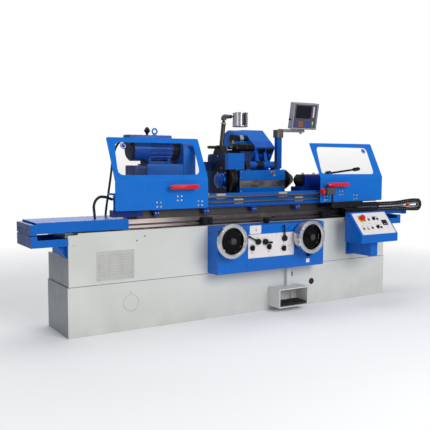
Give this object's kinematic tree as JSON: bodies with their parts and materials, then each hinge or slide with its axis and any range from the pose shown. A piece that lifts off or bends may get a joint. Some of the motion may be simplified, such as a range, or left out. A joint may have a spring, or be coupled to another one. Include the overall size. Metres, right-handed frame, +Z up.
{
  "type": "cylindrical grinding machine",
  "caption": "Universal cylindrical grinder: T-shaped bed, sliding and swivelling table, workhead, tailstock, splash-guard doors, wheelhead with internal grinding spindle, readout and controls.",
  "frame": {"origin": "on the floor, below the middle of the machine's outline", "axes": "+X along the table towards the tailstock, +Y away from the operator, +Z up"},
  "size_m": [3.647, 1.7, 1.7401],
  "materials": {
    "bed": "light grey textured paint",
    "left_trough": "gloss blue enamel",
    "right_trough": "gloss blue enamel",
    "apron_box": "gloss blue enamel",
    "pedal_housing": "light grey textured paint",
    "console": "gloss blue enamel",
    "chain_lower_run": "black moulded",
    "lower_table": "ground and oiled",
    "left_way_cover": "gloss blue enamel",
    "right_way_cover": "gloss blue enamel",
    "chain_upper_run": "black moulded",
    "left_dog": "black",
    "right_dog": "black",
    "chain_loop": "black moulded",
    "swivel_table": "ground and oiled",
    "guard_carrier": "gloss blue enamel",
    "upper_rod": "ground steel",
    "lower_rod": "ground steel",
    "stop_box": "grey moulded",
    "conduit_loop": "black hose",
    "conduit_straight": "black hose",
    "left_door": "gloss blue enamel",
    "left_window": "clear sheet",
    "left_handle": "red moulded",
    "right_door": "gloss blue enamel",
    "right_window": "clear sheet",
    "right_handle": "red moulded",
    "stop_button": "red moulded",
    "workhead_body": "gloss blue enamel",
    "workhead_motor": "gloss blue enamel",
    "workhead_spindle": "ground steel",
    "tailstock_body": "dark blue enamel",
    "quill_lever": "black",
    "tailstock_quill": "black",
    "wheelhead_body": "gloss blue enamel",
    "wheel_guard": "dark blue enamel",
    "belt_guard": "black",
    "wheel_motor": "gloss blue enamel",
    "internal_motor_box": "gloss blue enamel",
    "lamp_post": "black",
    "grinding_wheel": "bonded abrasive",
    "internal_bracket": "gloss blue enamel",
    "internal_spindle": "black",
    "lamp_arm": "black",
    "lamp_head": "ground steel",
    "readout_arm": "grey moulded",
    "readout_box": "grey moulded",
    "table_handwheel": "ground steel",
    "feed_handwheel": "ground steel",
    "throttle_lever": "black",
    "start_lever": "black",
    "feed_lever": "black",
    "reversing_lever": "black",
    "knob_speed_left": "black moulded",
    "knob_speed_right": "black moulded",
    "knob_dwell": "black moulded",
    "pedal": "black hose",
    "console_stop": "red moulded",
    "selector_upper": "black moulded",
    "selector_lower": "black moulded"
  },
  "bodies": {
    "machine_base": {"bed": "bed", "left_trough": "left_trough", "right_trough": "right_trough", "apron_box": "apron_box", "pedal_housing": "pedal_housing", "console": "console", "chain_lower_run": "chain_lower_run"},
    "sliding_table": {"lower_table": "lower_table", "left_way_cover": "left_way_cover", "right_way_cover": "right_way_cover", "chain_upper_run": "chain_upper_run"},
    "left_trip_dog": {"left_dog": "left_dog"},
    "right_trip_dog": {"right_dog": "right_dog"},
    "chain_bend": {"chain_loop": "chain_loop"},
    "upper_table": {"swivel_table": "swivel_table", "guard_carrier": "guard_carrier", "upper_rod": "upper_rod", "lower_rod": "lower_rod", "stop_box": "stop_box", "conduit_loop": "conduit_loop", "conduit_straight": "conduit_straight"},
    "left_guard_door": {"left_door": "left_door", "left_window": "left_window", "left_handle": "left_handle"},
    "right_guard_door": {"right_door": "right_door", "right_window": "right_window", "right_handle": "right_handle"},
    "stalk_stop": {"stop_button": "stop_button"},
    "workhead": {"workhead_body": "workhead_body", "workhead_motor": "workhead_motor"},
    "work_spindle": {"workhead_spindle": "workhead_spindle"},
    "tailstock": {"tailstock_body": "tailstock_body"},
    "tailstock_lever": {"quill_lever": "quill_lever"},
    "quill": {"tailstock_quill": "tailstock_quill"},
    "wheelhead": {"wheelhead_body": "wheelhead_body", "wheel_guard": "wheel_guard", "belt_guard": "belt_guard", "wheel_motor": "wheel_motor", "internal_motor_box": "internal_motor_box", "lamp_post": "lamp_post"},
    "wheel": {"grinding_wheel": "grinding_wheel"},
    "bracket": {"internal_bracket": "internal_bracket"},
    "internal_wheel_spindle": {"internal_spindle": "internal_spindle"},
    "lamp_elbow_arm": {"lamp_arm": "lamp_arm"},
    "lamp": {"lamp_head": "lamp_head"},
    "readout_swing_arm": {"readout_arm": "readout_arm"},
    "readout": {"readout_box": "readout_box"},
    "table_wheel": {"table_handwheel": "table_handwheel"},
    "feed_wheel": {"feed_handwheel": "feed_handwheel"},
    "throttle": {"throttle_lever": "throttle_lever"},
    "starter": {"start_lever": "start_lever"},
    "feeder": {"feed_lever": "feed_lever"},
    "reverser": {"reversing_lever": "reversing_lever"},
    "left_speed_knob": {"knob_speed_left": "knob_speed_left"},
    "right_speed_knob": {"knob_speed_right": "knob_speed_right"},
    "dwell_knob": {"knob_dwell": "knob_dwell"},
    "foot_pedal": {"pedal": "pedal"},
    "stop_mushroom": {"console_stop": "console_stop"},
    "upper_selector": {"selector_upper": "selector_upper"},
    "lower_selector": {"selector_lower": "selector_lower"}
  },
  "joints": [
    {"name": "table_traverse", "type": "slide", "parent": "machine_base", "child": "sliding_table", "axis": [1, 0, 0], "range_m": [-0.5, 0.36]},
    {"name": "table_swivel", "type": "hinge", "parent": "sliding_table", "child": "upper_table", "pos_m": [-0.0415, -0.31, 0.795], "axis": [0, 0, 1], "range_deg": [-2, 6]},
    {"name": "left_dog_slide", "type": "slide", "parent": "sliding_table", "child": "left_trip_dog", "axis": [1, 0, 0], "range_m": [-0.5, 0.3]},
    {"name": "right_dog_slide", "type": "slide", "parent": "sliding_table", "child": "right_trip_dog", "axis": [1, 0, 0], "range_m": [-0.3, 0.2]},
    {"name": "chain_travel", "type": "slide", "parent": "machine_base", "child": "chain_bend", "axis": [1, 0, 0], "range_m": [-0.25, 0.18]},
    {"name": "left_door_slide", "type": "slide", "parent": "upper_table", "child": "left_guard_door", "axis": [1, 0, 0], "range_m": [0, 0.5]},
    {"name": "right_door_slide", "type": "slide", "parent": "upper_table", "child": "right_guard_door", "axis": [-1, 0, 0], "range_m": [0, 0.5]},
    {"name": "stalk_stop_press", "type": "slide", "parent": "upper_table", "child": "stalk_stop", "axis": [1, 0, 0], "range_m": [0, 0.006], "stiffness_N_per_m": 400, "springref_m": -0.005},
    {"name": "workhead_swivel", "type": "hinge", "parent": "upper_table", "child": "workhead", "pos_m": [-0.7685, -0.31, 0.868], "axis": [0, 0, 1], "range_deg": [0, 12]},
    {"name": "work_spindle_spin", "type": "hinge", "parent": "workhead", "child": "work_spindle", "pos_m": [-0.5785, -0.31, 1.048], "axis": [1, 0, 0], "continuous": true},
    {"name": "tailstock_slide", "type": "slide", "parent": "upper_table", "child": "tailstock", "axis": [1, 0, 0], "range_m": [-0.05, 0.3]},
    {"name": "quill_lever_turn", "type": "hinge", "parent": "tailstock", "child": "tailstock_lever", "pos_m": [0.8745, -0.35, 1.104], "axis": [0, -1, 0], "range_deg": [0, 35]},
    {"name": "quill_slide", "type": "slide", "parent": "tailstock", "child": "quill", "axis": [-1, 0, 0], "range_m": [0, 0.03]},
    {"name": "cross_feed", "type": "slide", "parent": "machine_base", "child": "wheelhead", "axis": [0, -1, 0], "range_m": [-0.165, 0.075]},
    {"name": "wheel_spin", "type": "hinge", "parent": "wheelhead", "child": "wheel", "pos_m": [-0.0185, -0.07, 1.048], "axis": [1, 0, 0], "continuous": true},
    {"name": "bracket_swing", "type": "hinge", "parent": "wheelhead", "child": "bracket", "pos_m": [0.2965, -0.12, 1.178], "axis": [1, 0, 0], "range_deg": [0, 166]},
    {"name": "internal_spindle_spin", "type": "hinge", "parent": "bracket", "child": "internal_wheel_spindle", "pos_m": [0.1215, -0.06, 1.327], "axis": [1, 0, 0], "continuous": true},
    {"name": "lamp_elbow", "type": "hinge", "parent": "wheelhead", "child": "lamp_elbow_arm", "pos_m": [0.0135, 0.035, 1.5803], "axis": [0, 0, 1], "range_deg": [-60, 60]},
    {"name": "lamp_tilt", "type": "hinge", "parent": "lamp_elbow_arm", "child": "lamp", "pos_m": [0.05174, -0.01584, 1.59], "axis": [0.9205, -0.3907, 0], "range_deg": [-60, 60]},
    {"name": "readout_swivel", "type": "hinge", "parent": "wheelhead", "child": "readout_swing_arm", "pos_m": [0.537, -0.0295, 1.418], "axis": [0, 0, 1], "range_deg": [-30, 30]},
    {"name": "readout_tilt", "type": "hinge", "parent": "readout_swing_arm", "child": "readout", "pos_m": [0.8065, -0.048, 1.483], "axis": [1, 0, 0], "range_deg": [-20, 20]},
    {"name": "table_wheel_turn", "type": "hinge", "parent": "machine_base", "child": "table_wheel", "pos_m": [-0.3815, -0.666, 0.619], "axis": [0, -1, 0], "continuous": true},
    {"name": "feed_wheel_turn", "type": "hinge", "parent": "machine_base", "child": "feed_wheel", "pos_m": [0.3455, -0.666, 0.613], "axis": [0, -1, 0], "continuous": true},
    {"name": "throttle_turn", "type": "hinge", "parent": "machine_base", "child": "throttle", "pos_m": [-0.1075, -0.65, 0.593], "axis": [0, -1, 0], "range_deg": [-30, 30]},
    {"name": "starter_turn", "type": "hinge", "parent": "machine_base", "child": "starter", "pos_m": [-0.0395, -0.65, 0.588], "axis": [0, -1, 0], "range_deg": [0, 60]},
    {"name": "feeder_turn", "type": "hinge", "parent": "machine_base", "child": "feeder", "pos_m": [0.1485, -0.65, 0.605], "axis": [0, -1, 0], "range_deg": [-30, 30]},
    {"name": "reverser_turn", "type": "hinge", "parent": "machine_base", "child": "reverser", "pos_m": [0.0515, -0.544, 0.745], "axis": [0, -1, 0], "range_deg": [-15, 15]},
    {"name": "left_speed_turn", "type": "hinge", "parent": "machine_base", "child": "left_speed_knob", "pos_m": [-0.1585, -0.65, 0.547], "axis": [0, -1, 0], "range_deg": [-150, 150]},
    {"name": "right_speed_turn", "type": "hinge", "parent": "machine_base", "child": "right_speed_knob", "pos_m": [0.0005, -0.65, 0.547], "axis": [0, -1, 0], "range_deg": [-150, 150]},
    {"name": "dwell_turn", "type": "hinge", "parent": "machine_base", "child": "dwell_knob", "pos_m": [0.1455, -0.65, 0.525], "axis": [0, -1, 0], "range_deg": [-150, 150]},
    {"name": "pedal_press", "type": "hinge", "parent": "machine_base", "child": "foot_pedal", "pos_m": [0.259, -0.526, 0.066], "axis": [1, 0, 0], "range_deg": [0, 4], "stiffness_Nm_per_rad": 40, "springref_deg": -5.73},
    {"name": "stop_press", "type": "slide", "parent": "machine_base", "child": "stop_mushroom", "axis": [0, 0.7541, -0.6567], "range_m": [0, 0.006], "stiffness_N_per_m": 400, "springref_m": -0.01},
    {"name": "upper_selector_turn", "type": "hinge", "parent": "machine_base", "child": "upper_selector", "pos_m": [1.0325, -0.7436, 0.72519], "axis": [0, -0.7541, 0.6567], "range_deg": [-45, 45]},
    {"name": "lower_selector_turn", "type": "hinge", "parent": "machine_base", "child": "lower_selector", "pos_m": [1.0285, -0.80073, 0.65958], "axis": [0, -0.7541, 0.6567], "range_deg": [-45, 45]}
  ],
  "couplings": [
    {"joint": "chain_travel", "follows": "table_traverse", "ratio": 0.5},
    {"joint": "quill_slide", "follows": "quill_lever_turn", "m_per_rad": 0.049}
  ]
}
